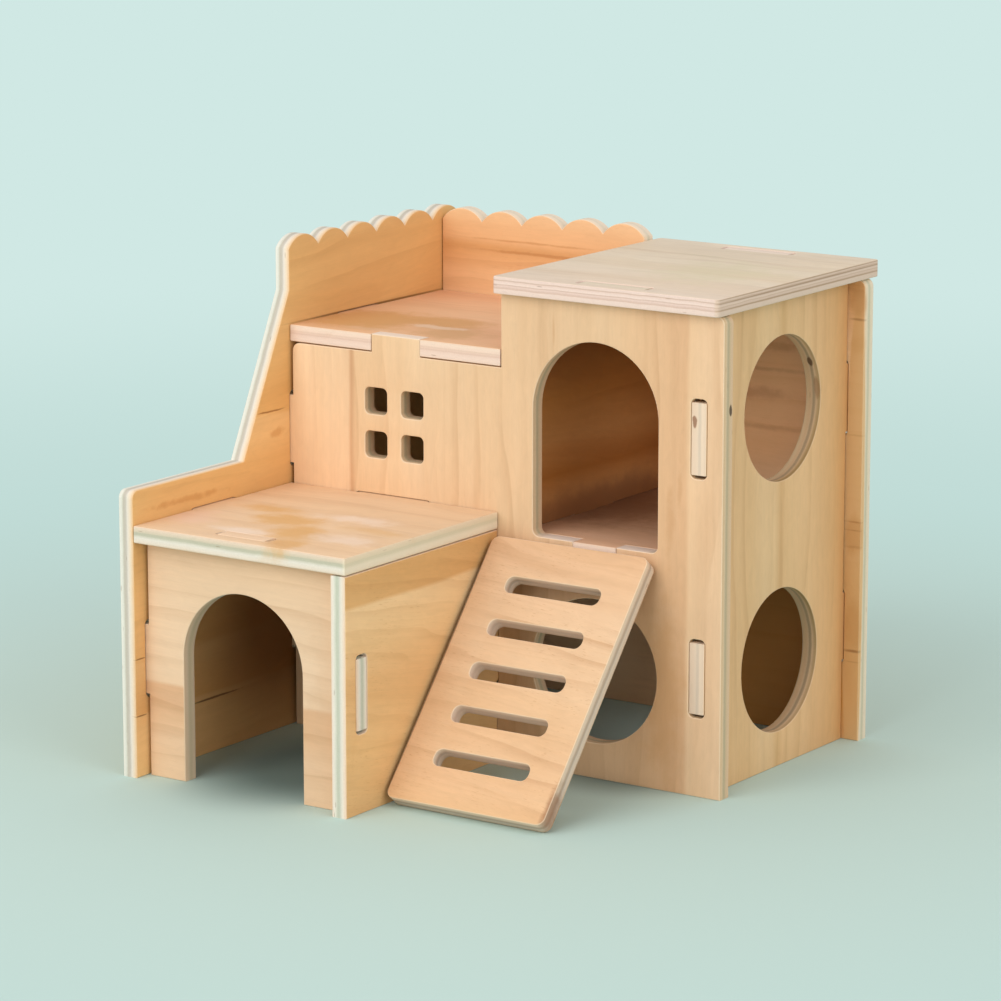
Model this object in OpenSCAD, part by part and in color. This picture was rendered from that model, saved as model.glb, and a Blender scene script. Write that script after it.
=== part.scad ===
// Two-storey plywood hamster house of flat panels that slot together: a tower, a middle room and a porch.
// X runs to the right along the front wall, Y runs to the back, Z is up from the table.
// The origin is under the middle of the whole house, on the table.

/* [Plywood] */
// Thickness of every panel
ply = 6; // [4.5:0.5:7.5]
// Clearance on each side of a tab in its slot
fit = 0.2; // [0.1:0.05:0.4]
// Gap between a panel's edge and the face that it meets
seam = 0.4; // [0.1:0.1:0.6]
// Gap between a loose piece and what it rests on
rest_gap = 0.2; // [0.1:0.05:0.4]
// Radius of the panels' rounded corners
corner = 3; // [1:0.5:5]
// Radius of the corners inside the slots
slot_round = 2; // [0.5:0.25:2.25]
// Length of the tabs between upright panels
tab = 24.5; // [16:0.5:30]
// Height of the middle of the lower tabs
low_tab_z = 41; // [36:0.5:46]
// Height of the middle of the tower's upper tabs
high_tab_z = 123; // [118:0.5:130]
// Height of the middle of the upper tabs in the left wall
left_tab_z = 108; // [104:0.5:116]
// How far the front wall and the porch front stop short of the left wall beside their tabs
left_gap = 1.2; // [0.2:0.1:2]
// How far the front and back walls run on past the right wall
side_lip = 6.5; // [4:0.5:12]
// How far the left wall and the porch side run on past the walls that they hold
end_lip = 6; // [4:0.5:12]

/* [Main block] */
// Width of the middle room, from the left wall to the tower's left face
mid_w = 90.4; // [90:0.2:130]
// Clear depth between the front wall and the back wall
main_d = 87.2; // [76:0.2:110]
// Outside width of the tower, with its inner wall and right wall
tower_w = 82.6; // [76:0.2:110]
// Height of the tower's walls
tower_h = 165; // [152:1:190]
// Height of the front wall under the middle roof
mid_h = 139.5; // [134:0.5:145]
// Height of the upper floor's top, level with the sill of the arch
floor_h = 82; // [74:0.5:88]

/* [Scalloped edge] */
// How far the valleys between the scallops stand above the tower's walls
crest_rise = 7.2; // [6.8:0.2:20]
// Height of one scallop
scallop_h = 4.4; // [2:0.2:6]
// Scallops along the left wall
left_scallops = 6; // [4:1:8]
// Scallops along the back wall, as far as the tower
back_scallops = 5; // [3:1:7]
// How far the left wall stands above the porch roof
low_rise = 11.8; // [6:0.2:16]
// How far before the front wall the left wall's slope begins
slope_run = 27; // [15:1:40]
// From the valleys down to the top of the slope
slope_drop = 14.7; // [8:0.1:24]

/* [Doorways] */
// Width of the arches and of the round holes
door_w = 50.5; // [44:0.5:54]
// From the tower's left face to the middle of its front doorways
door_in = 38.4; // [36:0.2:42]
// Height of the middle of the lower round holes
low_hole_z = 37.8; // [32:0.2:42]
// From the top of the tower's walls down to the middle of the upper round hole and of the arch's bow
bow_drop = 38.8; // [32:0.2:42]
// Radius of the lower corners of the tower's arch
sill_round = 2.5; // [1:0.5:5]

/* [Windows] */
// Side of one window pane
pane = 9.5; // [7:0.5:11]
// Width of the bars between the panes
bar = 6; // [4:0.5:8]
// Radius of the panes' corners
pane_round = 2; // [0.5:0.5:3]

/* [Roofs] */
// How far the tower roof stands out before the front wall
roof_front = 4; // [2:0.5:10]
// How far the tower roof stands out behind the back wall
roof_rear = 3.5; // [1:0.5:10]
// How far the tower roof stands out past the tower's left face
roof_left = 1; // [0.5:0.5:4]
// Width of the wall tabs that hold the tower roof
tower_tab = 26; // [16:1:40]
// Width of the wall tab in the front edge of the middle roof
mid_tab = 20.7; // [14:0.1:30]
// From the left wall to the middle of that tab
mid_tab_x = 46; // [38:0.5:52]
// Length of the middle roof's side tabs
mid_side_tab = 23; // [14:1:30]
// From the front wall's face to the middle of the middle roof's left tab
mid_left_y = 41; // [34:1:50]
// From the front wall's face to the middle of the middle roof's right tab
mid_right_y = 70; // [52:1:74]
// Width of the upper floor's tabs
floor_tab = 17.2; // [12:0.2:28]

/* [Porch] */
// Depth of the porch, from its front face to the front wall
porch_d = 82.7; // [76:0.1:100]
// Width of the porch, from the left wall to its outer side
porch_w = 89.2; // [80:0.1:90]
// Height of the porch's walls
porch_h = 82.7; // [76:0.1:88]
// Height of the top of the porch's arch
porch_arch_h = 69; // [60:0.5:71]
// Width of the tab that the porch front puts through its roof
porch_top_tab = 20; // [12:1:30]
// Length of the porch roof's tab in the left wall
porch_left_tab = 23; // [14:1:34]
// Width of the porch roof's tab in the front wall
porch_back_tab = 30; // [16:1:36]

/* [Ramp] */
// Width of the ramp
ramp_w = 63.4; // [54:0.1:68]
// Length of the ramp
ramp_len = 101; // [92:1:130]
// Space between the porch side and the ramp
ramp_space = 1.6; // [1:0.2:6]
// How far below the sill the ramp's back edge leans on the front wall
ramp_drop = 4.2; // [2:0.1:12]
// Radius of the ramp's corners
ramp_round = 3; // [1:0.5:8]
// Number of slots across the ramp
rungs = 5; // [3:1:6]
// Distance from one slot to the next
rung_pitch = 16.6; // [11:0.2:18]
// Length of one slot across the ramp
rung_len = 38; // [26:1:46]
// Width of one slot across the ramp
rung_w = 6.2; // [4:0.2:8]
// Radius of the ends of those slots
rung_round = 2.6; // [1:0.1:4]

/* [Hidden] */
$fn = 96;
// Overshoot of the cutting shapes past the faces they cut
over = 1;
// X of the tower's left face, the right wall's inner face and the end of the front and back walls
tower_x = mid_w;
side_x = tower_x + tower_w - ply;
wall_end_x = side_x + ply + side_lip;
// Y of the back wall's front face, and the front and rear ends of the left wall
back_y = ply + main_d;
front_end_y = -porch_d - end_lip;
rear_end_y = back_y + ply + end_lip;
// Middle of the depth between the front and back walls
mid_y = ply + main_d / 2;
// Heights of the tabs of the tower's right wall and of the tabs in the left wall
right_tabs_z = [low_tab_z, high_tab_z];
left_tabs_z = [low_tab_z, left_tab_z];
// Heights of the valleys, of the left wall's low part and of the top of its slope
crest_h = tower_h + crest_rise;
low_h = porch_h + ply + low_rise;
slope_h = crest_h - slope_drop;
// Middle of the upper openings, and of the window between the porch roof and the middle roof
high_hole_z = tower_h - bow_drop;
window_x = mid_w / 2;
window_z = (porch_h + ply + mid_h) / 2;
// Middle of the tower's front doorways, of its roof and of the porch's inside
door_x = tower_x + door_in;
roof_x = (tower_x - roof_left + wall_end_x) / 2;
porch_side_x = porch_w - ply;
porch_x = porch_side_x / 2;
// Middle of the porch roof's depth
porch_roof_y = front_end_y / 2;
// End gap that lets a square tab into a slot with rounded corners
end_gap = fit + slot_round - sqrt(2 * slot_round * fit - fit * fit);
// Slope of the ramp, from its length and the height at which it leans
ramp_top_z = floor_h - ramp_drop;
ramp_angle = asin(ramp_top_z / ramp_len);
ramp_x = porch_w + ramp_space;
// Middle of the house's outline, which becomes the origin
centre_x = (wall_end_x - ply) / 2;
centre_y = (front_end_y + rear_end_y) / 2;

module place() {
    translate([-centre_x, -centre_y, 0]) children();
}

// Panel that stands along X, drawn as X and Z, with its front face at y
module along_x(y) {
    place() translate([0, y + ply, 0]) rotate([90, 0, 0]) linear_extrude(ply) children();
}

// Panel that stands along Y, drawn as Y and Z, with its left face at x
module along_y(x) {
    place() translate([x, 0, 0]) rotate([90, 0, 90]) linear_extrude(ply) children();
}

// Panel that lies flat, drawn as X and Y, with its underside at z
module lying(z) {
    place() translate([0, 0, z]) linear_extrude(ply) children();
}

// Rectangle between two corners
module area(x0, y0, x1, y1) {
    translate([x0, y0]) square([x1 - x0, y1 - y0]);
}

// Rectangle between two corners, with rounded corners
module round_area(x0, y0, x1, y1, r) {
    area(x0 + r, y0, x1 - r, y1);
    area(x0, y0 + r, x1, y1 - r);
    for (x = [x0 + r, x1 - r], y = [y0 + r, y1 - r]) translate([x, y]) circle(r);
}

// Cutter that rounds the outer corner at x, y; right and up say which way the corner points
module nip(x, y, right, up, r) {
    difference() {
        translate([x - (right > 0 ? r : over), y - (up > 0 ? r : over)]) square(r + over);
        translate([x - right * r, y - up * r]) circle(r);
    }
}

// Slot for an upright tab: centred at x and z, long along the second axis
module upright_slot(x, z, length) {
    round_area(x - ply / 2 - fit, z - length / 2 - end_gap, x + ply / 2 + fit, z + length / 2 + end_gap, slot_round);
}

// Slot for a lying tab: centred at x and z, long along the first axis
module level_slot(x, z, length) {
    round_area(x - length / 2 - end_gap, z - ply / 2 - fit, x + length / 2 + end_gap, z + ply / 2 + fit, slot_round);
}

// Doorway with a half-round top: middle x, sill z0, centre of the bow z1
module arch(x, z0, z1, r) {
    translate([x, z1]) circle(door_w / 2);
    area(x - door_w / 2, z0 + r, x + door_w / 2, z1);
    if (r > 0) {
        area(x - door_w / 2 + r, z0, x + door_w / 2 - r, z1);
        for (side = [-1, 1]) translate([x + side * (door_w / 2 - r), z0 + r]) circle(r);
    }
}

// Row of scallops on the line of the valleys, from x0 to x1
module crest(x0, x1, count) {
    pitch = (x1 - x0) / count;
    bow = (pitch * pitch / 4 + scallop_h * scallop_h) / (2 * scallop_h);
    intersection() {
        area(x0, crest_h - over, x1, crest_h + scallop_h + over);
        for (i = [0 : count - 1]) translate([x0 + (i + 0.5) * pitch, crest_h + scallop_h - bow]) circle(bow);
    }
}

module left_wall() {
    color("#d99a55") along_y(-ply) difference() {
        union() {
            polygon([[front_end_y, 0], [rear_end_y, 0], [rear_end_y, crest_h], [0, crest_h],
                [0, slope_h], [-slope_run, low_h], [front_end_y, low_h]]);
            crest(0, rear_end_y, left_scallops);
        }
        nip(front_end_y, low_h, -1, 1, corner);
        upright_slot(-porch_d + ply / 2, low_tab_z, tab);
        for (z = left_tabs_z, y = [ply / 2, back_y + ply / 2]) upright_slot(y, z, tab);
        level_slot(porch_roof_y, porch_h + ply / 2, porch_left_tab);
        level_slot(mid_left_y, mid_h + ply / 2, mid_side_tab);
    }
}

module back_wall() {
    raised_x = tower_x - roof_left - 2 * seam;
    color("#d99a55") along_x(back_y) difference() {
        union() {
            area(seam, 0, wall_end_x, tower_h);
            area(seam, tower_h - over, raised_x, crest_h);
            crest(seam, raised_x, back_scallops);
            for (z = left_tabs_z) area(-ply, z - tab / 2, ply, z + tab / 2);
            area(roof_x - tower_tab / 2, tower_h - over, roof_x + tower_tab / 2, tower_h + ply);
        }
        nip(wall_end_x, tower_h, 1, 1, corner);
        for (z = right_tabs_z) upright_slot(side_x + ply / 2, z, tab);
        upright_slot(tower_x + ply / 2, high_tab_z, tab);
        level_slot(door_x, floor_h - ply / 2, floor_tab);
    }
}

module front_wall() {
    color("#e2b27c") along_x(0) difference() {
        union() {
            area(left_gap, 0, wall_end_x, mid_h - seam);
            area(tower_x, mid_h - over, wall_end_x, tower_h);
            for (z = left_tabs_z) area(-ply, z - tab / 2, ply, z + tab / 2);
            area(mid_tab_x - mid_tab / 2, mid_h - over, mid_tab_x + mid_tab / 2, mid_h + ply);
            area(roof_x - tower_tab / 2, tower_h - over, roof_x + tower_tab / 2, tower_h + ply);
        }
        nip(left_gap, mid_h - seam, -1, 1, corner);
        nip(wall_end_x, tower_h, 1, 1, corner);
        arch(door_x, floor_h, high_hole_z, sill_round);
        area(door_x - floor_tab / 2 - fit, floor_h - ply - fit, door_x + floor_tab / 2 + fit, floor_h + over);
        translate([door_x, low_hole_z]) circle(door_w / 2);
        window_panes();
        for (z = right_tabs_z) upright_slot(side_x + ply / 2, z, tab);
        upright_slot(porch_side_x + ply / 2, low_tab_z, tab);
        level_slot(porch_w / 2, porch_h + ply / 2, porch_back_tab);
    }
}

// Four panes in a square
module window_panes() {
    step = (pane + bar) / 2;
    for (x = [-step, step], z = [-step, step]) translate([window_x + x, window_z + z])
        round_area(-pane / 2, -pane / 2, pane / 2, pane / 2, pane_round);
}

module right_wall() {
    color("#d8a468") along_y(side_x) difference() {
        union() {
            area(ply + seam, 0, back_y - seam, tower_h);
            for (z = right_tabs_z) area(0, z - tab / 2, back_y + ply, z + tab / 2);
        }
        for (z = [low_hole_z, high_hole_z]) translate([mid_y, z]) circle(door_w / 2);
    }
}

module upper_floor() {
    color("#c9915c") lying(floor_h - ply) difference() {
        union() {
            area(tower_x, ply + seam, side_x - seam, back_y - seam);
            area(door_x - floor_tab / 2, 0, door_x + floor_tab / 2, back_y + ply);
        }
        area(tower_x - over, mid_y - tab / 2 - fit, tower_x + ply + fit, mid_y + tab / 2 + fit);
    }
}

module inner_wall() {
    color("#c9915c") along_y(tower_x) difference() {
        union() {
            area(ply + seam, floor_h, back_y - seam, tower_h);
            area(mid_y - tab / 2, floor_h - ply, mid_y + tab / 2, floor_h + over);
            area(mid_y, high_tab_z - tab / 2, back_y + ply, high_tab_z + tab / 2);
        }
        level_slot(mid_right_y, mid_h + ply / 2, mid_side_tab);
    }
}

module middle_roof() {
    color("#dcae86") lying(mid_h) difference() {
        union() {
            area(seam, 0, tower_x - seam, back_y - seam);
            area(-ply, mid_left_y - mid_side_tab / 2, ply, mid_left_y + mid_side_tab / 2);
            area(tower_x - ply, mid_right_y - mid_side_tab / 2, tower_x + ply, mid_right_y + mid_side_tab / 2);
        }
        area(mid_tab_x - mid_tab / 2 - fit, -over, mid_tab_x + mid_tab / 2 + fit, ply + fit);
    }
}

module tower_roof() {
    left_x = tower_x - roof_left;
    rear_y = back_y + ply + roof_rear;
    color("#d9c2a2") lying(tower_h + rest_gap) difference() {
        round_area(left_x, -roof_front, wall_end_x, rear_y, corner / 2);
        for (y = [ply / 2, back_y + ply / 2]) level_slot(roof_x, y, tower_tab);
    }
}

module porch_front() {
    color("#e2b685") along_x(-porch_d) difference() {
        union() {
            area(left_gap, 0, porch_side_x - seam, porch_h - seam);
            area(-ply, low_tab_z - tab / 2, porch_w, low_tab_z + tab / 2);
            area(porch_x - porch_top_tab / 2, porch_h - over, porch_x + porch_top_tab / 2, porch_h + ply);
        }
        arch(porch_x, -over, porch_arch_h - door_w / 2, 0);
    }
}

module porch_side() {
    color("#d8a468") along_y(porch_side_x) difference() {
        union() {
            area(front_end_y, 0, -seam, porch_h - seam);
            area(-ply, low_tab_z - tab / 2, ply, low_tab_z + tab / 2);
        }
        upright_slot(-porch_d + ply / 2, low_tab_z, tab);
    }
}

module porch_roof() {
    color("#dcae86") lying(porch_h) difference() {
        union() {
            area(seam, front_end_y, porch_w, -seam);
            area(-ply, porch_roof_y - porch_left_tab / 2, ply, porch_roof_y + porch_left_tab / 2);
            area(porch_w / 2 - porch_back_tab / 2, -ply, porch_w / 2 + porch_back_tab / 2, ply);
        }
        level_slot(porch_x, -porch_d + ply / 2, porch_top_tab);
    }
}

// The ramp is drawn flat from its foot, then tilted about the foot's lower edge
module ramp() {
    first = ramp_len / 2 - (rungs - 1) * rung_pitch / 2;
    slot_x = ramp_w / 2 - rung_len / 2;
    foot_y = -2 * rest_gap - ramp_len * cos(ramp_angle);
    color("#e6bd8a") place() translate([ramp_x, foot_y, 0]) rotate([ramp_angle, 0, 0]) linear_extrude(ply)
        difference() {
            round_area(0, 0, ramp_w, ramp_len, ramp_round);
            for (i = [0 : rungs - 1]) translate([slot_x, first + i * rung_pitch - rung_w / 2])
                round_area(0, 0, rung_len, rung_w, rung_round);
        }
}

left_wall();
back_wall();
front_wall();
right_wall();
upper_floor();
inner_wall();
middle_roof();
tower_roof();
porch_front();
porch_side();
porch_roof();
ramp();
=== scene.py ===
import math

import bpy
import numpy as np
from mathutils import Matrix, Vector
from mathutils.geometry import delaunay_2d_cdt


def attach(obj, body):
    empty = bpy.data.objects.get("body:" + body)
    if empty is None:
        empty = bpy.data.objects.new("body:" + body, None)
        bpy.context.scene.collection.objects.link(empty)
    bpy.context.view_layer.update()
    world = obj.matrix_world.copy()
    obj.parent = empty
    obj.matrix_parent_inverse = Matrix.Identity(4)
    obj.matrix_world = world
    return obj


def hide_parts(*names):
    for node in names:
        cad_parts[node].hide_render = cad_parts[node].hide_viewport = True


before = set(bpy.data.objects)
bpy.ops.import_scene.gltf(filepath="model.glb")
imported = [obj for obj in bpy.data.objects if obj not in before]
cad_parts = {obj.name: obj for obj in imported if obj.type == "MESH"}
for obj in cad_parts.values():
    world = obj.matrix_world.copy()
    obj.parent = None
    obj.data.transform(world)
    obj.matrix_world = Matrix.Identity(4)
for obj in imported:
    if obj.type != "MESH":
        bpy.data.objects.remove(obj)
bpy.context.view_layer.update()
print("frame loaded:", len(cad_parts), "panels")

# The patterns are drawn in millimetres, the meshes are in metres
perMetre = 1000.0
plywood = {"thickness": 6.0, "arris": 0.42, "arrisSteps": 4, "sharpAngle": 40}
# a direction that no panel faces, and how far the ramp's face looks up and forward at the least
skewAxis = (0.31, 0.47, 0.83)
rampSlope = 0.3
# how close corners are to be one, in decimals of a metre, and what counts as level or as empty
weld = {"decimals": 7, "level": 1e-6, "area": 1e-14, "length": 1e-9, "outline": 1e-5}


def hexColour(text):
    # a display colour such as "#e2b27c" as linear red, green, blue, alpha
    parts = [int(text[i:i + 2], 16) / 255 for i in (1, 3, 5)]
    return tuple(p / 12.92 if p <= 0.04045 else ((p + 0.055) / 1.055) ** 2.4 for p in parts) + (1.0,)


class Wire:
    # an output socket that can be calculated with: each operator adds one Math node
    def __init__(self, graph, socket):
        self.graph = graph
        self.socket = socket

    def __add__(self, other):
        return self.graph.maths("ADD", self, other)

    def __sub__(self, other):
        return self.graph.maths("SUBTRACT", self, other)

    def __rsub__(self, other):
        return self.graph.maths("SUBTRACT", other, self)

    def __mul__(self, other):
        return self.graph.maths("MULTIPLY", self, other)

    def __truediv__(self, other):
        return self.graph.maths("DIVIDE", self, other)

    __radd__ = __add__
    __rmul__ = __mul__


class Graph:
    def __init__(self, name):
        self.material = bpy.data.materials.new(name)
        self.material.use_nodes = True
        self.tree = self.material.node_tree
        self.tree.nodes.clear()

    # one node: its type, its settings, the numbers or wires of its inputs, and the output wanted
    def node(self, kind, settings=None, inputs=None, output=0):
        made = self.tree.nodes.new(kind)
        for key, value in (settings or {}).items():
            if key == "stops":
                elements = made.color_ramp.elements
                while len(elements) < len(value):
                    elements.new(1.0)
                for element, (position, colour) in zip(elements, value):
                    element.position = position
                    element.color = colour
            else:
                setattr(made, key, value)
        for key, value in (inputs or {}).items():
            if isinstance(value, Wire):
                self.tree.links.new(value.socket, made.inputs[key])
            else:
                made.inputs[key].default_value = value
        return Wire(self, made.outputs[output]) if made.outputs else None

    def maths(self, operation, *values):
        return self.node("ShaderNodeMath", {"operation": operation}, dict(enumerate(values)))

    def smooth(self, value, low, high):
        # 0 below low, 1 above high, an S-curve between
        return self.node("ShaderNodeMapRange", {"interpolation_type": "SMOOTHSTEP"},
                         {"Value": value, "From Min": low, "From Max": high})

    def mix(self, factor, first, second, blend="MIX"):
        return self.node("ShaderNodeMix", {"data_type": "RGBA", "blend_type": blend},
                         {0: factor, 6: first, 7: second}, 2)

    def vector(self, operation, *values, output=0):
        return self.node("ShaderNodeVectorMath", {"operation": operation}, dict(enumerate(values)), output)

    def dot(self, vector, axis):
        return self.vector("DOT_PRODUCT", vector, axis, output=1)

    def scale(self, vector, factor):
        return self.node("ShaderNodeVectorMath", {"operation": "SCALE"}, {0: vector, "Scale": factor})

    def noise(self, x, y, z, detail=2.0, distortion=0.0):
        place = self.node("ShaderNodeCombineXYZ", inputs={0: x, 1: y, 2: z})
        return self.node("ShaderNodeTexNoise", inputs={
            "Vector": place, "Scale": 1.0, "Detail": detail, "Roughness": 0.55, "Distortion": distortion})

    def band(self, value, rise, fall):
        # 0 outside, 1 inside: up across the pair rise, down again across the pair fall
        return self.smooth(value, *rise) * (1 - self.smooth(value, *fall))


# Positions below are millimetres from the inner front corner of the left wall, on the table
corner = (86.75, 8.25, 0.0)

# Layers seen on a cut edge: how far through the panel each begins, and its colour
leftPlies = [(0.0, "#dfab70"), (0.06, "#e8c49c"), (0.2, "#ead5bb"), (0.38, "#e3d8ca"), (0.44, "#d1c8bc"),
             (0.5, "#c5bbad"), (0.66, "#c2b9a9"), (0.71, "#d0cbbb"), (0.8, "#e0dcd0"), (1.0, "#e8e5d8")]
backPlies = [(0.0, "#e7c091"), (0.1, "#ebd1b1"), (0.3, "#e9d5b8"), (0.4, "#d1c8ae"), (0.55, "#cbc2a7"),
             (0.65, "#e5d4b8"), (0.9, "#eddac1"), (1.0, "#e9d1b2")]
frontPlies = [(0.0, "#e2c09a"), (0.1, "#d9b78f"), (0.28, "#dcc09c"), (0.36, "#c6b190"), (0.5, "#bba98a"),
              (0.6, "#d0b692"), (0.8, "#dcbb98"), (1.0, "#debb95")]
rightPlies = [(0.0, "#d6a370"), (0.1, "#deb68b"), (0.3, "#e2bf97"), (0.38, "#ba9c7a"), (0.48, "#af9575"),
              (0.58, "#d9b690"), (0.85, "#d5a778"), (1.0, "#c39060")]
porchPlies = [(0.0, "#e2bc9a"), (0.08, "#ebd1b9"), (0.25, "#e8dccb"), (0.38, "#d7d1c4"), (0.45, "#c5c7b4"),
              (0.58, "#c2c3b0"), (0.7, "#d8d5c4"), (0.82, "#e9dfd0"), (0.95, "#e8d5c4"), (1.0, "#dfc8ae")]
porchRoofPlies = [(0.0, "#e3c5ab"), (0.12, "#e1cbb4"), (0.3, "#d1c3ab"), (0.36, "#beb8a1"), (0.48, "#c0bca6"),
                  (0.55, "#d3ccba"), (0.66, "#e5dbcd"), (0.88, "#e6d6c3"), (1.0, "#d4bda3")]
pinkPlies = [(0.0, "#e4c5ab"), (0.12, "#ebd3bf"), (0.3, "#e9cebb"), (0.38, "#ddc1ad"), (0.42, "#e3c6b4"),
             (0.52, "#dbbdaa"), (0.58, "#e5caba"), (0.75, "#ead1c1"), (1.0, "#e8cebc")]
towerRoofPlies = [(0.0, "#e3c9bd"), (0.15, "#e5ccbf"), (0.2, "#c9ab99"), (0.25, "#e2c7ba"), (0.4, "#ebd3c7"),
                  (0.45, "#d0b1a1"), (0.51, "#e4c9bd"), (0.66, "#d5b6a6"), (0.72, "#e9d0c3"), (1.0, "#e6cdc0")]
rampPlies = [(0.0, "#dcb68c"), (0.12, "#e2ccb4"), (0.3, "#d8bfa8"), (0.4, "#bfa58d"), (0.52, "#b9a592"),
             (0.62, "#d8c3b0"), (0.85, "#dcc4ac"), (0.95, "#c6a484"), (1.0, "#a97c58")]

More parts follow.
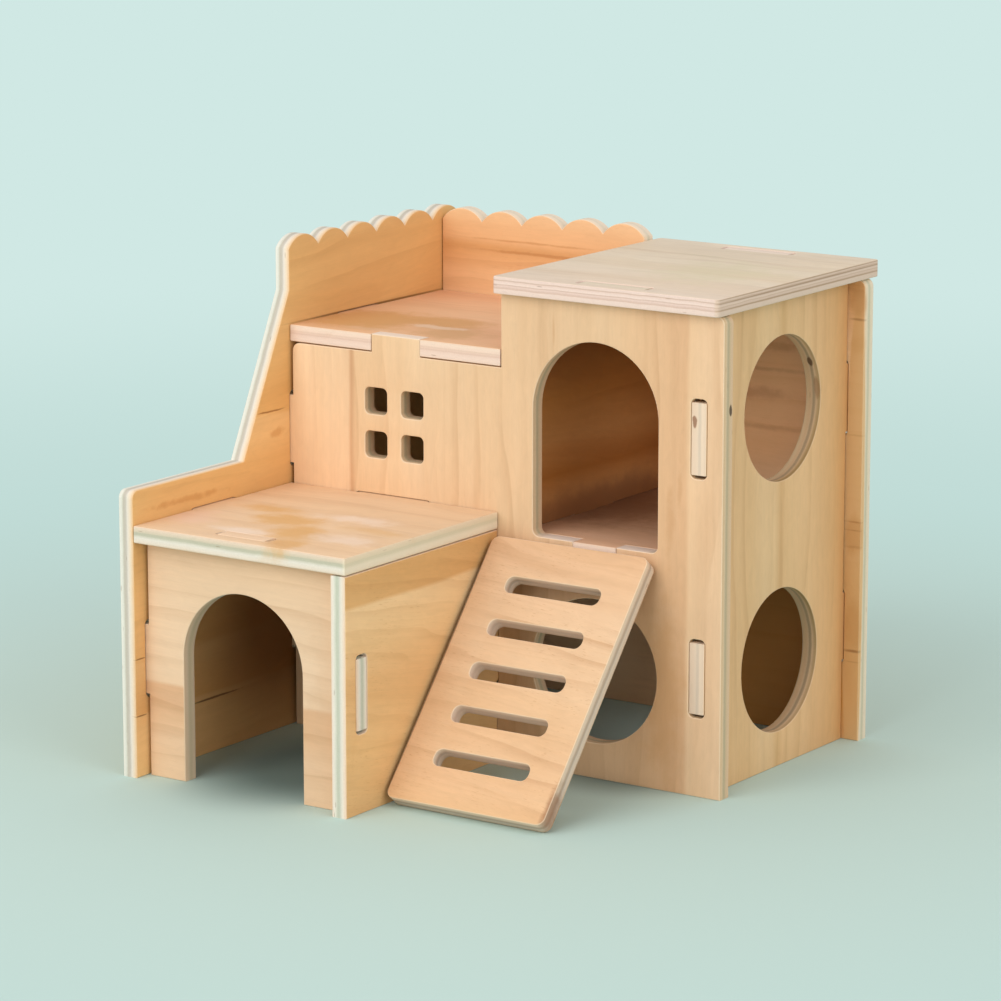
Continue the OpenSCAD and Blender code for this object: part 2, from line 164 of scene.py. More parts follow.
# Each panel: its body, its slot, the direction of the grain, the one across it and the outward face;
# the ramp leans, so its last two are read from its faces. Then its wood: ring is the spacing of the
# growth lines; lines, bands, flecks and feather say how strongly the growth lines, the broad bands,
# the short flecks and the mottling show; warp is how far the growth lines wander and lean how far
# they slant; plies are the layers of the edge, rim is how pale the arris is, sanded wear and a painted
# highlight in one, seed picks the pattern. tints are (position across, colour).
# A mark is a spot on the face and the edges, an edge mark one on the edges alone:
# (centre, radii, colour, strength, softness, wobble)
panels = {
    "front_wall": {
        "body": "house", "slot": "front_ply", "along": (0, 0, 1), "across": (1, 0, 0), "facing": (0, -1, 0),
        "ring": 13, "lines": 0.24, "bands": 0.4, "flecks": 0.1, "feather": 0.14, "warp": 4, "lean": 0.0,
        "plies": frontPlies, "rim": 0.4, "seed": 3.7,
        "tints": [(0, "#f0cda6"), (12, "#eecaa3"), (25.5, "#ecc7a0"), (26.8, "#d3a47b"), (28.5, "#e4be94"),
                  (42, "#e8c39a"), (60, "#e5c49e"), (88, "#e4c099"), (100, "#e0bb94"), (130, "#e4c19b"),
                  (152, "#e0b68d"), (165, "#dcb088"), (166.5, "#e7c19a"), (180, "#e7c19c")],
        "marks": [((159, 0, 92), (2.6, 6, 17), "#c9976a", 0.45, 0.8, 0.7),
                  ((162.5, 0, 104), (1.3, 6, 14), "#c9976a", 0.45, 0.8, 0.7),
                  ((157, 0, 34), (11, 6, 40), "#cf9a66", 0.5, 0.8, 0.5),
                  ((112, 0, 152), (0.7, 6, 11), "#c9976a", 0.5, 0.8, 0.5),
                  ((179.5, 4.6, 133.2), (2.5, 1.0, 2.3), "#4a3a2a", 0.9, 0.3, 0.5)],
        "edgeMarks": [((46, 3, 145.6), (14, 9, 1.4), "#efdac8", 0.9, 0.3, 0),
                      ((134.5, 3, 171.5), (18, 9, 2.5), "#dfcfb8", 0.95, 0.3, 0),
                      ((128.8, 3, 82), (28, 9, 1.4), "#e8d2c6", 0.85, 0.3, 0)]},
    "right_wall": {
        "body": "house", "slot": "side_ply", "along": (0, 0, 1), "across": (0, 1, 0), "facing": (1, 0, 0),
        "ring": 9, "lines": 0.22, "bands": 0.45, "flecks": 0.1, "feather": 0.16, "warp": 3, "lean": 0.0,
        "plies": rightPlies, "rim": 0.25, "seed": 11.2,
        "tints": [(6, "#e4be8f"), (16, "#e1b887"), (30, "#e2ba89"), (38, "#e5bf90"), (45, "#e3bc8c"),
                  (49, "#d8ac79"), (52, "#e2b886"), (66, "#e4b988"), (76, "#e0b17e"), (93, "#dba76f")],
        "marks": [((170.5, 71.3, 138.6), (1.3, 3, 2.2), "#5a3a22", 0.85, 0.4, 0.5),
                  ((171.6, 74.5, 129), (1.4, 3, 5), "#a5774f", 0.6, 0.4, 0.5),
                  ((168.4, 0, 128.6), (1.1, 2, 2.6), "#8a5a3c", 0.8, 0.4, 0.7)],
        "edgeMarks": [((173, 50, 84), (2.6, 75, 110), "#8b6f2c", 0.65, 0.7, 0),
                      ((167.3, 50, 84), (2.3, 75, 110), "#e0caa5", 0.6, 0.6, 0),
                      ((170, 0, 80), (9, 3, 99), "#f1dfce", 0.55, 0.2, 0)]},
    "left_wall": {
        "body": "house", "slot": "warm_ply", "along": (0, 1, 0), "across": (0, 0, 1), "facing": (1, 0, 0),
        "ring": 15, "lines": 0.18, "bands": 0.35, "flecks": 0.1, "feather": 0.12, "warp": 6, "lean": -0.04,
        "plies": leftPlies, "rim": 0.2, "seed": 21.9,
        "tints": [(0, "#f7c88b"), (21, "#f4c286"), (22, "#e9b171"), (40, "#f3c186"), (42, "#edb778"),
                  (60, "#f1bf81"), (98, "#e9b878"), (114, "#efc58b"), (116, "#e3b16f"), (140, "#e5b678"),
                  (176, "#e2b274")],
        "marks": [((0, -11, 116), (3, 10, 0.45), "#a06a36", 0.85, 0.5, 0.6),
                  ((0, -9, 108), (3, 5, 2.5), "#cc8b4a", 0.5, 0.7, 0.8),
                  ((0, -86, 41.6), (3, 3.5, 0.35), "#8a5527", 0.8, 0.5, 0.4),
                  ((0, -86, 21.6), (3, 3.5, 0.35), "#8a5527", 0.8, 0.5, 0.4),
                  ((0, -44, 19.5), (3, 17, 0.5), "#5a3818", 0.8, 0.5, 0.5),
                  ((0, -60, 93), (3, 28, 1.6), "#c98846", 0.5, 0.8, 0.8),
                  # painted shade: the inner face darker inside the porch and the lower room
                  ((0, -8, 42), (3, 60, 62), "#7a4a1a", 0.9, 0.8, 0),
                  # painted shade: a dark line where the middle roof's top meets the wall
                  ((0, 50, 145.7), (3, 62, 0.6), "#7a5028", 0.8, 0.6, 0)],
        "edgeMarks": []},
    "back_wall": {
        "body": "house", "slot": "warm_ply", "along": (1, 0, 0), "across": (0, 0, 1), "facing": (0, -1, 0),
        "ring": 7, "lines": 0.2, "bands": 0.45, "flecks": 0.2, "feather": 0.12, "warp": 4, "lean": 0.02,
        "plies": backPlies, "rim": 0.15, "seed": 31.4,
        # the tints from 80 to 138 are lighter than the wood: painted light meant for the inside of the tower,
        # though it lightens the wall all across
        "tints": [(0, "#e8bc92"), (80, "#f6d0a6"), (138, "#fad2a6"), (148, "#ecbd8e"), (152, "#ecbc8b"),
                  (158, "#e7b27e"), (163, "#dba36b"), (166, "#ebb886"), (176, "#ecbe8e")],
        # painted shade: the lower room's back wall darker and more orange, seen through the lower round hole
        "marks": [((150, 93, 32), (42, 2.5, 60), "#ce8828", 0.8, 0.4, 0),
                  # painted light: a lighter patch inside the tower, where light from the arch falls
                  ((136, 93, 120), (34, 2.5, 34), "#ffbe78", 0.45, 0.5, 0),
                  ((138, 93, 130), (30, 2.5, 1.2), "#a96a48", 0.3, 0.9, 0.7),
                  ((134, 93, 121), (30, 2.5, 3.5), "#c0805a", 0.4, 0.9, 0.7),
                  ((140, 93, 109), (30, 2.5, 1.4), "#a96a48", 0.25, 0.9, 0.7),
                  ((136, 93, 138), (30, 2.5, 2.6), "#b4744c", 0.35, 0.9, 0.7),
                  # the wing beyond the right wall: partly its own tone, partly painted shade
                  ((177, 93, 70), (5, 2.5, 92), "#dfb078", 0.8, 0.1, 0),
                  ((177, 93, 157), (5, 2.5, 6.5), "#cb955e", 0.6, 0.5, 0.1),
                  ((177, 93, 142), (5, 2.5, 5), "#d09c62", 0.3, 0.8, 0.3),
                  ((177, 93, 74), (5, 2.5, 9), "#cc9458", 0.5, 0.5, 0.3),
                  ((177, 93, 42), (5, 2.5, 11), "#cc9458", 0.4, 0.5, 0.3),
                  ((177, 93, 151), (5, 2.5, 0.7), "#a06c3a", 0.6, 0.8, 0.2),
                  ((177, 93, 110), (6, 2.5, 0.5), "#b57f48", 0.3, 0.8, 0.3),
                  ((177, 93, 76), (6, 2.5, 0.4), "#a9713c", 0.4, 0.8, 0.5),
                  ((177, 93, 79), (6, 2.5, 0.5), "#a9713c", 0.5, 0.8, 0.4),
                  ((177, 93, 70), (6, 2.5, 0.8), "#b57f48", 0.4, 0.8, 0.6),
                  ((177, 93, 32.4), (6, 2.5, 0.8), "#8f5c2e", 0.65, 0.8, 0.3),
                  ((177, 93, 28.6), (6, 2.5, 0.4), "#b57f48", 0.4, 0.8, 0.3),
                  ((52, 93, 162), (50, 2.5, 0.9), "#b87a42", 0.6, 0.7, 0.5),
                  ((72, 93, 157.5), (30, 2.5, 0.7), "#c08448", 0.6, 0.7, 0.5),
                  ((40, 93, 166), (36, 2.5, 0.6), "#c08448", 0.5, 0.7, 0.6),
                  # painted light: a lighter patch low on the back wall, seen through the round doorway
                  ((64, 93, 22), (32, 2.5, 34), "#ffdcb4", 0.9, 0.6, 0)],
        "edgeMarks": [((134.5, 96, 171.5), (18, 9, 2.5), "#e6d2c2", 0.9, 0.3, 0),
                      ((45, 96, 176), (60, 9, 8), "#ecd9c6", 0.6, 0.3, 0)]},
    "porch_front": {
        "body": "house", "slot": "porch_ply", "along": (1, 0, 0), "across": (0, 0, 1), "facing": (0, -1, 0),
        "ring": 9, "lines": 0.28, "bands": 0.5, "flecks": 0.12, "feather": 0.12, "warp": 3, "lean": 0.03,
        "plies": porchPlies, "rim": 0.35, "seed": 41.6,
        "tints": [(0, "#e8c39f"), (14, "#e6c09c"), (22, "#deb28a"), (32.6, "#dbae87"), (34, "#e8c7a6"),
                  (50, "#e9c8a7"), (70, "#e7c4a1"), (83, "#e6c19d")],
        "marks": [((76, -82, 30), (10, 3, 45), "#d8b08a", 0.35, 0.8, 0.6)],
        # painted light: the porch arch's left reveal warmed, for light bounced onto it
        "edgeMarks": [((20, -80, 30), (14, 5, 75), "#e0b98c", 0.55, 0.3, 0),
                      ((41.6, -79.7, 88.8), (14, 9, 2.2), "#ebc8a6", 0.95, 0.3, 0)]},
    "porch_side": {
        "body": "house", "slot": "side_ply", "along": (0, 1, 0), "across": (0, 0, 1), "facing": (1, 0, 0),
        "ring": 8, "lines": 0.2, "bands": 0.5, "flecks": 0.35, "feather": 0.16, "warp": 3, "lean": 0.2,
        "plies": porchPlies, "rim": 0.3, "seed": 53.3,
        "tints": [(0, "#e6b67e"), (20, "#ebbf86"), (45, "#eabb84"), (58, "#f1c995"), (70, "#f3cd9c"),
                  (71.5, "#e0af74"), (83, "#dfad71")],
        "marks": [],
        "edgeMarks": []},
    "porch_roof": {
        "body": "house", "slot": "roof_ply", "along": (1, 0, 0), "across": (0, 1, 0), "facing": (0, 0, 1),
        "ring": 14, "lines": 0.12, "bands": 0.5, "flecks": 0.08, "feather": 0.12, "warp": 16, "lean": 0.0,
        "plies": porchRoofPlies, "rim": 0.1, "seed": 62.5,
        "tints": [(-90, "#eac8a4"), (0, "#ebcaa7")],
        "marks": [((22, -40, 88.7), (17, 8, 9), "#dcaa6c", 0.75, 0.8, 0.4),
                  ((38, -52, 88.7), (18, 12, 9), "#dba868", 0.8, 0.7, 0.4),
                  ((52, -66, 88.7), (13, 14, 9), "#dba868", 0.8, 0.7, 0.4),
                  ((60, -82, 88.7), (9, 12, 9), "#dba868", 0.75, 0.7, 0.4),
                  ((74, -50, 88.7), (19, 6, 9), "#dfb27a", 0.55, 0.8, 0.5),
                  ((60, -38, 88.7), (22, 7, 9), "#f0d9c6", 0.75, 0.8, 0.6),
                  ((74, -66, 88.7), (16, 9, 9), "#f0dac8", 0.6, 0.8, 0.6),
                  ((36, -74, 88.7), (18, 6, 9), "#eed9c8", 0.6, 0.7, 0.5),
                  ((8, -66, 88.7), (14, 18, 9), "#ecc6ae", 0.6, 0.8, 0.5),
                  ((32.8, -80, 88.7), (1.9, 0.8, 2), "#946349", 0.8, 0.5, 0.3)],
        "edgeMarks": [((90, -40, 85.7), (3, 70, 9), "#f7e4c2", 0.5, 0.3, 0)]},
    "middle_roof": {
        "body": "house", "slot": "roof_ply", "along": (1, 0, 0), "across": (0, 1, 0), "facing": (0, 0, 1),
        "ring": 16, "lines": 0.12, "bands": 0.5, "flecks": 0.08, "feather": 0.12, "warp": 16, "lean": 0.0,
        "plies": pinkPlies, "rim": 0.15, "seed": 75.1,
        "tints": [(0, "#e7b58a"), (30, "#e6b38a"), (50, "#ebbc94"), (94, "#ecbd99")],
        "marks": [((16, 24, 145.5), (30, 26, 9), "#cf995c", 0.8, 0.6, 0.4),
                  ((44, 34, 145.5), (22, 12, 9), "#cf995c", 0.75, 0.6, 0.4),
                  ((58, 16, 145.5), (20, 14, 9), "#cf9f6c", 0.75, 0.7, 0.4),
                  ((48, 24, 145.5), (14, 4.5, 9), "#e3c1a2", 0.85, 0.6, 0.7),
                  ((30, 8, 145.5), (16, 4, 9), "#e0b690", 0.5, 0.7, 0.6)],
        "edgeMarks": []},
    "tower_roof": {
        "body": "tower_roof", "slot": "tower_roof_ply", "along": (1, 0, 0), "across": (0, 1, 0),
        "facing": (0, 0, 1), "ring": 12, "lines": 0.2, "bands": 0.6, "flecks": 0.12, "feather": 0.15, "warp": 10,
        "lean": 0.0, "plies": towerRoofPlies, "rim": 0.05, "seed": 84.8,
        "tints": [(-5, "#e2ceba"), (50, "#e1cfb6"), (103, "#e0cfb8")],
        "marks": [((149, 46, 171), (32, 34, 9), "#d5c8a3", 0.6, 0.9, 0.6),
                  ((125, 75, 171), (15, 1.6, 9), "#c9bb98", 0.5, 0.8, 0.8)],
        "edgeMarks": [((180, 50, 168.2), (3, 99, 9), "#c8ab86", 0.35, 0.3, 0),
                      ((180, 50, 170.9), (3, 99, 0.45), "#96744e", 0.55, 0.6, 0.1),
                      ((180, 50, 169.6), (3, 99, 0.4), "#8c6a48", 0.6, 0.6, 0.1),
                      ((180, 50, 167.4), (3, 99, 0.4), "#96744e", 0.5, 0.6, 0.1)]},
    "upper_floor": {
        "body": "house", "slot": "inside_ply", "along": (1, 0, 0), "across": (0, 1, 0), "facing": (0, 0, 1),
        "ring": 9, "lines": 0.15, "bands": 0.6, "flecks": 0.08, "feather": 0.16, "warp": 12, "lean": 0.0,
        "plies": pinkPlies, "rim": 0.1, "seed": 95.5,
        # painted shade: darker towards the back, and darker still over a broad patch
        "tints": [(0, "#e7ba9a"), (30, "#c39a7c"), (94, "#a87c5e")],
        "marks": [((104, 60, 82), (50, 52, 9), "#7c5236", 0.85, 0.9, 0.3)],
        "edgeMarks": []},
    "inner_wall": {
        "body": "house", "slot": "inside_ply", "along": (0, 1, 0), "across": (0, 0, 1), "facing": (1, 0, 0),
        "ring": 13, "lines": 0.25, "bands": 0.9, "flecks": 0.1, "feather": 0.2, "warp": 9, "lean": 0.1,
        "plies": pinkPlies, "rim": 0.1, "seed": 103.2,
        # painted shade: the wall darker all over and darkest towards the top, with its own grain bands
        "tints": [(76, "#b0784c"), (90, "#cd9359"), (98, "#ae6e30"), (110, "#c38950"), (125, "#b67838"),
                  (150, "#80440e"), (165, "#6e3808")],
        # painted shade along the foot, where the wall meets the upper floor
        "marks": [((96, 50, 84), (3, 90, 12), "#8f5f3c", 0.8, 0.8, 0.3),
                  # the left face keeps a plain pale wood colour, without the painted shade
                  ((90.4, 50, 120), (1.2, 400, 400), "#dcb184", 0.85, 0.5, 0),
                  ((90.4, 30, 151), (1.2, 60, 1.3), "#b98552", 0.45, 0.9, 0.5),
                  ((90.4, 75, 158), (1.2, 45, 1), "#b98552", 0.4, 0.9, 0.5),
                  ((90.4, 45, 162), (1.2, 70, 0.7), "#c08c5a", 0.4, 0.9, 0.5)],
        "edgeMarks": []},
    "ramp": {
        "body": "ramp", "slot": "ramp_ply", "along": (1, 0, 0), "ring": 9, "lines": 0.42, "bands": 0.6,
        "flecks": 0.5, "feather": 0.16, "warp": 3, "lean": 0.09, "plies": rampPlies, "rim": 0.4, "seed": 114.9,
        "tints": [(-42, "#dfb284"), (-30, "#e2b88f"), (0, "#e4be97"), (30, "#e4bf9a"), (58, "#e0b58d")],
        "marks": [((154.5, -65, 8), (3, 11, 18), "#94623f", 0.7, 0.8, 0.5),
                  # painted shade: a dark line along the ramp's left edge, where it meets the porch side
                  ((90.3, -33, 39), (1.5, 80, 80), "#63401f", 0.85, 0.5, 0)],
        "edgeMarks": [((122, -35, 40), (27, 50, 50), "#e8cab4", 0.65, 0.3, 0)]}
}

# Noise of the wood: millimetres along and across the fibres, shift of the seed, detail, distortion
grain = {
    "wander": (60, 30, 10, 2.0, 0.0), "warp": (85, 30, 0, 2.0, 0.0), "bands": (300, 13, 4, 3.0, 0.0),
    "drift": (170, 26, 1, 2.0, 0.0), "jitter": (14, 2, 2, 2.0, 0.0), "lineGaps": (120, 16, 3, 2.0, 0.0),
    "fineDrift": (70, 7, 11, 2.0, 0.0), "fineGaps": (60, 9, 12, 2.0, 0.0), "fibre": (9, 0.26, 5, 3.0, 0.0),
    "streak": (60, 1.4, 6, 2.0, 0.0), "fleck": (2.8, 0.34, 7, 1.0, 0.0), "fleckGaps": (26, 17, 13, 2.0, 0.0),
    "cloud": (45, 22, 14, 2.0, 0.0), "feather": (8, 2.6, 15, 4.0, 0.8)}

# How far each noise moves or shades the wood, from where to where each pattern fades in or out, the
# colours that darken it, and how much the lines and flecks stand out
wood = {
    "wander": 2.4, "drift": 3.0, "jitter": 0.06, "fineSpacing": 0.3, "fineDrift": 3.2, "fineShare": 0.22,
    "fibre": 0.08, "streak": 0.07, "cloud": 0.10, "bandsIn": (0.35, 0.7), "lineIn": (0.5, 0.95),
    "lineOut": (0.955, 1.0), "lineGaps": (0.38, 0.68), "fineIn": (0.35, 0.9), "fineOut": (0.92, 1.0),
    "fineGaps": (0.4, 0.65), "fleckIn": (0.62, 0.76), "fleckGaps": (0.35, 0.6),
    "bandTint": (0.92, 0.86, 0.78, 1.0), "lineTint": (0.62, 0.47, 0.34, 1.0),
    "fleckTint": (0.66, 0.50, 0.36, 1.0), "lineHeight": 0.4, "fleckHeight": 0.5}

# The cut edge: the wobble of its layers, torn fibres, specks and pits, each with its sizes in
# millimetres along the edge and through the panel, its detail, and how strongly it shades
veneer = {
    "seedShift": 20, "wobbleSize": 7, "wobble": 0.5, "tornSize": (4, 0.13, 3.0), "torn": 0.20,
    "speckSize": (0.6, 0.5, 2.0), "speck": 0.14, "pitSize": (15, 1.7), "pit": (0.04, 0.10), "pitTone": "#8a6a4c",
    "pitStrength": 0.6}

# Where the face's pattern gives way to the edge's as the surface turns, the paler arris between them,
# sanded wear and a painted highlight in one, and the finish; turn is how squarely the surface looks
# outward, 0 to 1
surface = {
    "faceIn": (0.55, 0.80), "wearAndHighlightIn": (0.15, 0.5), "wearAndHighlightOut": (0.88, 0.995), "wearAndHighlightTone": "#f6e2c6",
    "edgeHeight": 0.7, "faceHeight": 0.6, "bump": 0.35, "bumpDepth": 0.00012, "roughness": 0.74,
    "faceSmoother": 0.2, "grainRoughness": 0.06, "specular": 0.35}

# Marks have ragged outlines: the size and detail of the ripple, and how far a wobble of 1 carries it
ripple = {"frequency": 0.11, "detail": 5.0, "roughness": 0.65, "reach": 2.8}


def flatFace(node, facing):
    # the CAD panel's corners, welded, and the triangles of its outward face, turned to look outward;
    # a corner's height is its dot product with facing
    source = node.data
    source.calc_loop_triangles()
    points = np.zeros(len(source.vertices) * 3)
    source.vertices.foreach_get("co", points)
    triangles = np.zeros(len(source.loop_triangles) * 3, np.int64)
    source.loop_triangles.foreach_get("vertices", triangles)
    points, welded = np.unique(points.reshape(-1, 3).round(weld["decimals"]), axis=0, return_inverse=True)
    triangles = welded.reshape(-1)[triangles].reshape(-1, 3)
    height = points @ facing
    triangles = triangles[(height[triangles] > height.max() - weld["level"]).all(axis=1)]
    corners = points[triangles]
    area = np.cross(corners[:, 1] - corners[:, 0], corners[:, 2] - corners[:, 0]) @ facing
    triangles, area = triangles[np.abs(area) > weld["area"]], area[np.abs(area) > weld["area"]]
    triangles[area < 0] = triangles[area < 0][:, ::-1]
    return points, triangles, height.max(), np.ptp(height)


def openEdges(triangles, count):
    # a directed edge whose reverse is missing lies on the outline, with the wood on its left
    start = triangles.reshape(-1)
    end = triangles[:, [1, 2, 0]].reshape(-1)
    outline = ~np.isin(start * count + end, end * count + start)
    return start[outline], end[outline]


def inwardSteps(points, start, end, facing):
    # the step that moves both edges of a corner inward by 1: twice the sum of their left-hand
    # normals, over that sum's squared length
    run = points[end] - points[start]
    left = np.cross(facing, run / np.linalg.norm(run, axis=1, keepdims=True))
    inward = np.zeros((len(points), 3))
    np.add.at(inward, start, left)
    np.add.at(inward, end, left)
    square = (inward ** 2).sum(axis=1, keepdims=True)
    return np.where(square > weld["length"], 2 * inward / np.maximum(square, weld["length"]), 0)


def rolledEdge(arris, steps, thickness):
    # the profile across an edge, a quarter round at each face: inset = arris * (1 - sin a) and
    # depth = arris * (1 - cos a), then the same mirrored at the other face
    angle = np.linspace(0, math.pi / 2, steps + 1)
    inset = arris * (1 - np.sin(angle))
    depth = arris * (1 - np.cos(angle))
    return np.concatenate([inset, inset[::-1]]), np.concatenate([depth, thickness - depth[::-1]])


def capTriangles(flat, start, end):
    # every triangle between the outline's edges (flat, mm), less those where the outline's winding number
    # about the middle, its upward crossings on the left minus its downward ones, is not above 0
    edges = np.stack([start, end], 1).tolist()
    made = delaunay_2d_cdt([Vector(point) for point in flat], edges, [], 1, weld["outline"])
    triangles = np.array([origin[0] for origin in made[3]])[np.array(made[2])]
    middle = flat[triangles].mean(axis=1)[:, None]
    a, b = flat[start] - middle, flat[end] - middle
    side = a[..., 0] * b[..., 1] - a[..., 1] * b[..., 0]
    up = (a[..., 1] <= 0) & (b[..., 1] > 0) & (side > 0)
    down = (a[..., 1] > 0) & (b[..., 1] <= 0) & (side < 0)
    triangles = triangles[up.sum(axis=1) > down.sum(axis=1)]
    a, b = flat[triangles[:, 1]] - flat[triangles[:, 0]], flat[triangles[:, 2]] - flat[triangles[:, 0]]
    turned = a[:, 0] * b[:, 1] < a[:, 1] * b[:, 0]
    triangles[turned] = triangles[turned][:, ::-1]
    return triangles


def panelMesh(name, node, facing):
    # Both faces are the CAD outline laid in by the arris, and the rolled profile is carried along
    # every outline between them: point = corner + inset * inward - depth * facing
    points, triangles, top, thickness = flatFace(node, facing)
    start, end = openEdges(triangles, len(points))
    used = np.unique(triangles)
    place = np.full(len(points), -1)
    place[used] = np.arange(len(used))
    inward = inwardSteps(points, start, end, facing)[used]
    inset, depth = rolledEdge(plywood["arris"] / perMetre, plywood["arrisSteps"], thickness)
    rings = (points[used] + inset[:, None, None] * inward - depth[:, None, None] * facing).reshape(-1, 3)
    start, end, ring, bands = place[start], place[end], len(used), len(inset) - 1
    step = ring * np.arange(bands)[:, None]
    first, second = start + step, end + step
    sides = np.stack([first, first + ring, second + ring, second], axis=-1).reshape(-1, 4)
    # u and v span the face, with u x v = facing
    u = np.cross(facing, skewAxis)
    u /= np.linalg.norm(u)
    caps = capTriangles(rings[:ring] @ np.stack([u, np.cross(facing, u)], 1) * perMetre, start, end)
    faces = caps.tolist() + (caps[:, ::-1] + ring * bands).tolist() + sides.tolist()
    mesh = bpy.data.meshes.new(name)
    mesh.from_pydata(rings, [], faces)
    rounded = np.arange(len(faces)) >= 2 * len(caps)
    mesh.polygons.foreach_set("use_smooth", rounded)
    mesh.update()
    mesh.set_sharp_from_angle(angle=math.radians(plywood["sharpAngle"]))
    return mesh, top


def spots(graph, place, colour, marks, seed):
    # each mark mixes its colour in where |(place + ripple * wobble - centre) / radii| is below 1
    shift = None
    if any(wobble for *_, wobble in marks):
        shift = graph.node("ShaderNodeTexNoise", inputs={
            "Vector": graph.vector("ADD", graph.scale(place, ripple["frequency"]), (seed, 0.0, 0.0)),
            "Scale": 1.0, "Detail": ripple["detail"], "Roughness": ripple["roughness"]}, output=1)
        shift = graph.vector("SUBTRACT", shift, (0.5, 0.5, 0.5))
    for centre, radii, tone, strength, softness, wobble in marks:
        offset = graph.vector("DIVIDE", graph.vector("SUBTRACT", place, centre), radii)
        if wobble:
            offset = graph.vector("ADD", offset, graph.scale(shift, ripple["reach"] * wobble))
        reach = graph.vector("LENGTH", offset, output=1)
        inside = 1 - graph.smooth(reach, 1 - softness, 1.0)
        colour = graph.mix(inside * strength, colour, hexColour(tone))
    return colour


def faceWood(graph, along, across, look):
    # wavy growth lines over broad bands, with fine fibres and short flecks
    def layer(name, sideways):
        length, width, shift, detail, distortion = grain[name]
        return graph.noise(along / length, sideways / width, look["seed"] + shift, detail, distortion)

    low, high = look["tints"][0][0], look["tints"][-1][0]
    wander = across + (layer("wander", across) - 0.5) * wood["wander"]
    stops = [((place - low) / (high - low), hexColour(tone)) for place, tone in look["tints"]]
    colour = graph.node("ShaderNodeValToRGB", {"stops": stops}, {0: (wander - low) / (high - low)})
    waved = across + along * look["lean"] + (layer("warp", across) - 0.5) * (2 * look["warp"])
    bands = graph.smooth(layer("bands", waved), *wood["bandsIn"])
    colour = graph.mix(bands * look["bands"], colour, wood["bandTint"], "MULTIPLY")

    # a growth line darkens slowly and ends sharply, once in each ring; gaps break it up
    ring = waved / look["ring"] + layer("drift", across) * wood["drift"]
    ring = graph.maths("FRACT", ring + layer("jitter", across) * wood["jitter"])
    line = graph.band(ring, wood["lineIn"], wood["lineOut"])
    line = line * graph.smooth(layer("lineGaps", waved), *wood["lineGaps"])
    fine = waved / (wood["fineSpacing"] * look["ring"]) + layer("fineDrift", across) * wood["fineDrift"]
    fine = graph.band(graph.maths("FRACT", fine), wood["fineIn"], wood["fineOut"])
    fine = fine * graph.smooth(layer("fineGaps", waved), *wood["fineGaps"])
    dark = line * look["lines"] + fine * (wood["fineShare"] * look["lines"])
    colour = graph.mix(dark, colour, wood["lineTint"], "MULTIPLY")

    fleck = graph.smooth(layer("fleck", waved), *wood["fleckIn"])
    fleck = fleck * graph.smooth(layer("fleckGaps", across), *wood["fleckGaps"])
    colour = graph.mix(fleck * look["flecks"], colour, wood["fleckTint"], "MULTIPLY")
    fibre = layer("fibre", waved) - 0.5
    shade = 1 + fibre * wood["fibre"] + (layer("streak", waved) - 0.5) * wood["streak"]
    shade = shade + (layer("cloud", across) - 0.5) * wood["cloud"]
    shade = shade + (layer("feather", waved) - 0.5) * look["feather"]
    return graph.scale(colour, shade), fibre + line * wood["lineHeight"] - fleck * wood["fleckHeight"]


def edgeWood(graph, along, across, depth, look):
    # layers of veneer through the thickness, with torn fibres and a few dark pits
    seed = look["seed"] + veneer["seedShift"]

    def layer(size, through, detail):
        return graph.noise(along / size, across / size, depth / through + seed, detail) - 0.5

    wobble = graph.noise(along / veneer["wobbleSize"], across / veneer["wobbleSize"], seed) - 0.5
    layers = graph.node("ShaderNodeValToRGB", {
        "stops": [(place, hexColour(colour)) for place, colour in look["plies"]]},
        {0: (depth + wobble * veneer["wobble"]) / plywood["thickness"]})
    torn = layer(*veneer["tornSize"])
    speck = layer(*veneer["speckSize"])
    size, through = veneer["pitSize"]
    place = graph.node("ShaderNodeCombineXYZ", inputs={
        0: along / size, 1: across / size, 2: depth / through + seed})
    pit = graph.node("ShaderNodeTexVoronoi", inputs={"Vector": place, "Scale": 1.0})
    pit = 1 - graph.smooth(pit, *veneer["pit"])
    colour = graph.scale(layers, 1 + torn * veneer["torn"] + speck * veneer["speck"])
    colour = graph.mix(pit * veneer["pitStrength"], colour, hexColour(veneer["pitTone"]))
    return colour, torn + speck - pit


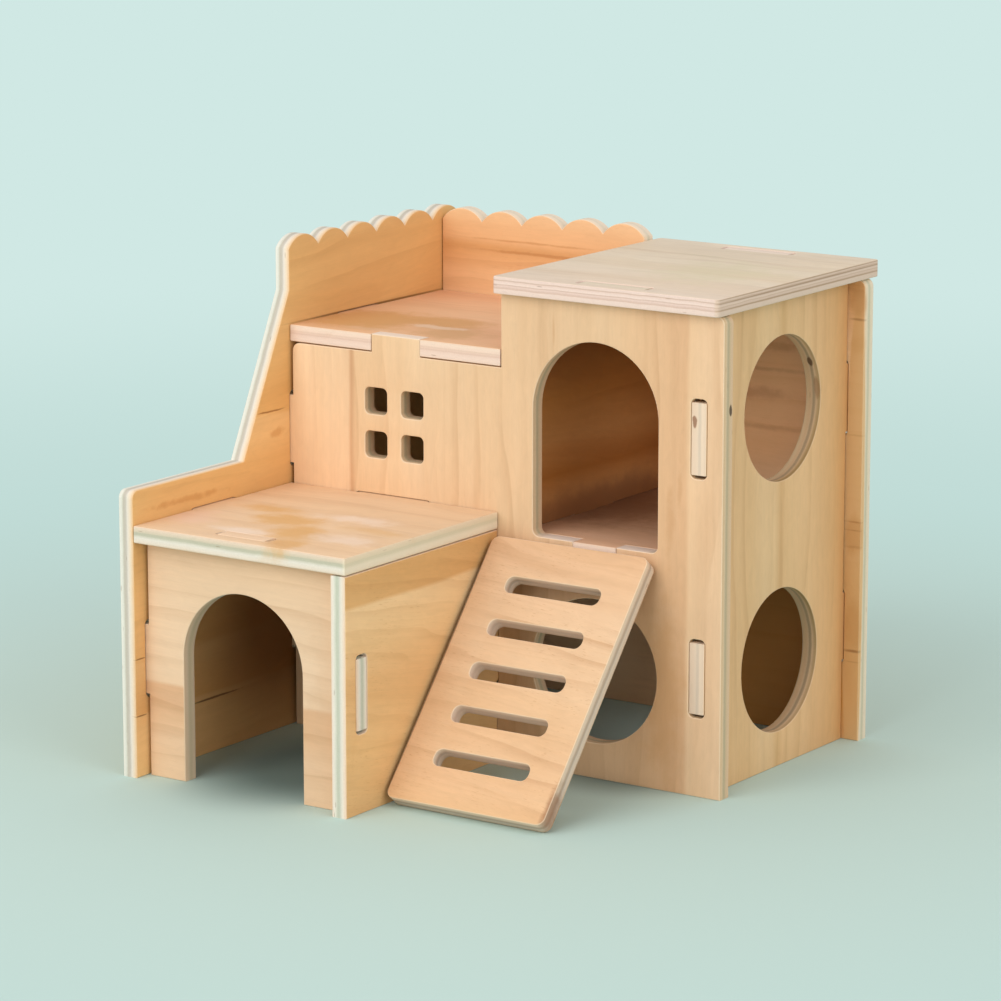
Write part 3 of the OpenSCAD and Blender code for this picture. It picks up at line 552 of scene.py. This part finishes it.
def panelMaterial(name, look, top):
    # the face's wood where the surface looks outward or back, the edge's layers where it looks sideways
    graph = Graph(name)
    raw = graph.scale(graph.node("ShaderNodeTexCoord", output="Object"), perMetre)
    place = graph.vector("ADD", raw, corner)
    along = graph.dot(place, look["along"])
    across = graph.dot(place, look["across"])
    facing = tuple(Vector(look["facing"]).normalized())
    depth = top * perMetre - graph.dot(raw, facing)
    turn = graph.maths("ABSOLUTE", graph.dot(graph.node("ShaderNodeTexCoord", output="Normal"), facing))
    face = graph.smooth(turn, *surface["faceIn"])
    # the arris band, paler as sanded wear and as a painted highlight
    wearAndHighlight = graph.band(turn, surface["wearAndHighlightIn"], surface["wearAndHighlightOut"])
    faceColour, faceHeight = faceWood(graph, along, across, look)
    edgeColour, edgeHeight = edgeWood(graph, along, across, depth, look)
    edgeColour = spots(graph, place, edgeColour, look["edgeMarks"], look["seed"])
    colour = graph.mix(face, edgeColour, faceColour)
    colour = spots(graph, place, colour, look["marks"], look["seed"])
    # the arris paled: partly sanded wear, partly a painted highlight
    colour = graph.mix(wearAndHighlight * look["rim"], colour, hexColour(surface["wearAndHighlightTone"]))
    low, high = edgeHeight * surface["edgeHeight"], faceHeight * surface["faceHeight"]
    bump = graph.node("ShaderNodeBump", inputs={
        "Strength": surface["bump"], "Distance": surface["bumpDepth"], "Height": low + (high - low) * face})
    roughness = surface["roughness"] - face * surface["faceSmoother"] + faceHeight * surface["grainRoughness"]
    shader = graph.node("ShaderNodeBsdfPrincipled", inputs={
        "Base Color": colour, "Roughness": roughness, "Specular IOR Level": surface["specular"], "Normal": bump})
    graph.node("ShaderNodeOutputMaterial", inputs={0: shader})
    return graph.material


def rampDirections(node):
    # the ramp's upward face is its widest flat one that looks up and forward
    up = [p for p in node.data.polygons if p.normal.z > rampSlope and p.normal.y < -rampSlope]
    facing = max(up, key=lambda p: p.area).normal.normalized()
    return tuple(facing), tuple(facing.cross(Vector((1, 0, 0))))


def buildPanel(name, look):
    if name == "ramp":
        look["facing"], look["across"] = rampDirections(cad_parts[name])
    facing = np.array(look["facing"], float)
    mesh, top = panelMesh(name + "_panel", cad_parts[name], facing / np.linalg.norm(facing))
    piece = bpy.data.objects.new(name + "_panel", mesh)
    bpy.context.scene.collection.objects.link(piece)
    mesh.materials.append(panelMaterial(name + "_plywood", look, top))
    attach(piece, look["body"])
    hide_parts(name)


for name, look in panels.items():
    buildPanel(name, look)
print("panels built:", len(panels))

# Studio: the floor runs far back, so that it fills the view. Between the distances in glowIn the camera
# begins to see an even pale colour instead of the floor's falling light, near to far across farIn.
# shaded are marks on the floor inside the house
studio = {
    "floor": "#c0d6cf", "near": "#c0dbd6", "far": "#d0e8e4", "floorSize": 14.0, "glowIn": (0.12, 0.5),
    "farIn": (0.35, 1.1), "roughness": 0.85, "specular": 0.2, "sky": (1.0, 0.99, 0.97, 1.0), "world": 0.73,
    "aim": (0, 0, 0.08),
    "shaded": [((42, -38, 0), (52, 75, 9), "#56665e", 0.8, 0.7, 0),
               ((132, 18, 0), (46, 42, 9), "#3e4842", 0.85, 0.8, 0)],
    "key": {"azimuth": -10, "elevation": 28, "distance": 1.7, "size": 1.6, "watts": 14.8},
    "fill": {"azimuth": 75, "elevation": 25, "distance": 2.0, "size": 1.4, "watts": 9.0}}


def aimed(thing, target, azimuth, elevation, distance):
    # place = target + distance * (sin a cos e, -cos a cos e, sin e), looking back at the target
    a, e = math.radians(azimuth), math.radians(elevation)
    back = Vector((math.sin(a) * math.cos(e), -math.cos(a) * math.cos(e), math.sin(e)))
    thing.location = Vector(target) + back * distance
    thing.rotation_mode = "QUATERNION"
    thing.rotation_quaternion = (-back).to_track_quat("-Z", "Y")


def softLamp(name, look):
    light = bpy.data.lights.new(name, "AREA")
    light.shape = "DISK"
    light.size = look["size"]
    light.energy = look["watts"]
    lamp = bpy.data.objects.new(name, light)
    bpy.context.scene.collection.objects.link(lamp)
    aimed(lamp, studio["aim"], look["azimuth"], look["elevation"], look["distance"])


def floorMaterial():
    # darker inside the porch and the tower, where little light reaches
    graph = Graph("pale_floor")
    raw = graph.node("ShaderNodeTexCoord", output="Object")
    away = graph.vector("LENGTH", raw, output=1)
    place = graph.vector("ADD", graph.scale(raw, perMetre), corner)
    shader = graph.node("ShaderNodeBsdfPrincipled", inputs={
        "Base Color": spots(graph, place, hexColour(studio["floor"]), studio["shaded"], 0.0),
        "Roughness": studio["roughness"], "Specular IOR Level": studio["specular"]})
    paler = graph.smooth(away, *studio["farIn"])
    glow = graph.node("ShaderNodeEmission", inputs={
        "Color": graph.mix(paler, hexColour(studio["near"]), hexColour(studio["far"])), "Strength": 1.0})
    ray = [graph.node("ShaderNodeLightPath", output=kind) for kind in (
        "Is Camera Ray", "Is Glossy Ray", "Is Transmission Ray")]
    seen = graph.maths("MINIMUM", ray[0] + ray[1] + ray[2], 1.0)
    shader = graph.node("ShaderNodeMixShader", inputs={
        0: graph.smooth(away, *studio["glowIn"]) * seen, 1: shader, 2: glow})
    graph.node("ShaderNodeOutputMaterial", inputs={0: shader})
    return graph.material


def buildStudio():
    half = studio["floorSize"] / 2
    mesh = bpy.data.meshes.new("floor")
    mesh.from_pydata([(-half, -half, 0), (half, -half, 0), (half, half, 0), (-half, half, 0)], [], [(0, 1, 2, 3)])
    floor = bpy.data.objects.new("floor", mesh)
    bpy.context.scene.collection.objects.link(floor)
    mesh.materials.append(floorMaterial())
    world = bpy.data.worlds.new("studio")
    world.use_nodes = True
    background = world.node_tree.nodes["Background"].inputs
    background["Color"].default_value = studio["sky"]
    background["Strength"].default_value = studio["world"]
    bpy.context.scene.world = world
    softLamp("key_lamp", studio["key"])
    softLamp("fill_lamp", studio["fill"])


# The photograph's viewpoint: a long lens from the right, a little above the lower rooms
viewpoint = {
    "azimuth": 34.43, "elevation": 11.99, "distance": 1.5, "target": (-0.01437, 0.01782, 0.08602),
    "lens": 153.64, "sensor": 36.0, "clip": (0.05, 40.0)}


def placeCamera():
    lens = bpy.data.cameras.new("camera")
    lens.lens = viewpoint["lens"]
    lens.sensor_width = viewpoint["sensor"]
    lens.clip_start, lens.clip_end = viewpoint["clip"]
    camera = bpy.data.objects.new("camera", lens)
    bpy.context.scene.collection.objects.link(camera)
    aimed(camera, viewpoint["target"], viewpoint["azimuth"], viewpoint["elevation"], viewpoint["distance"])
    bpy.context.scene.camera = camera


buildStudio()
placeCamera()
bpy.context.scene.view_settings.view_transform = "Standard"
print("studio and camera placed")

bpy.context.view_layer.update()
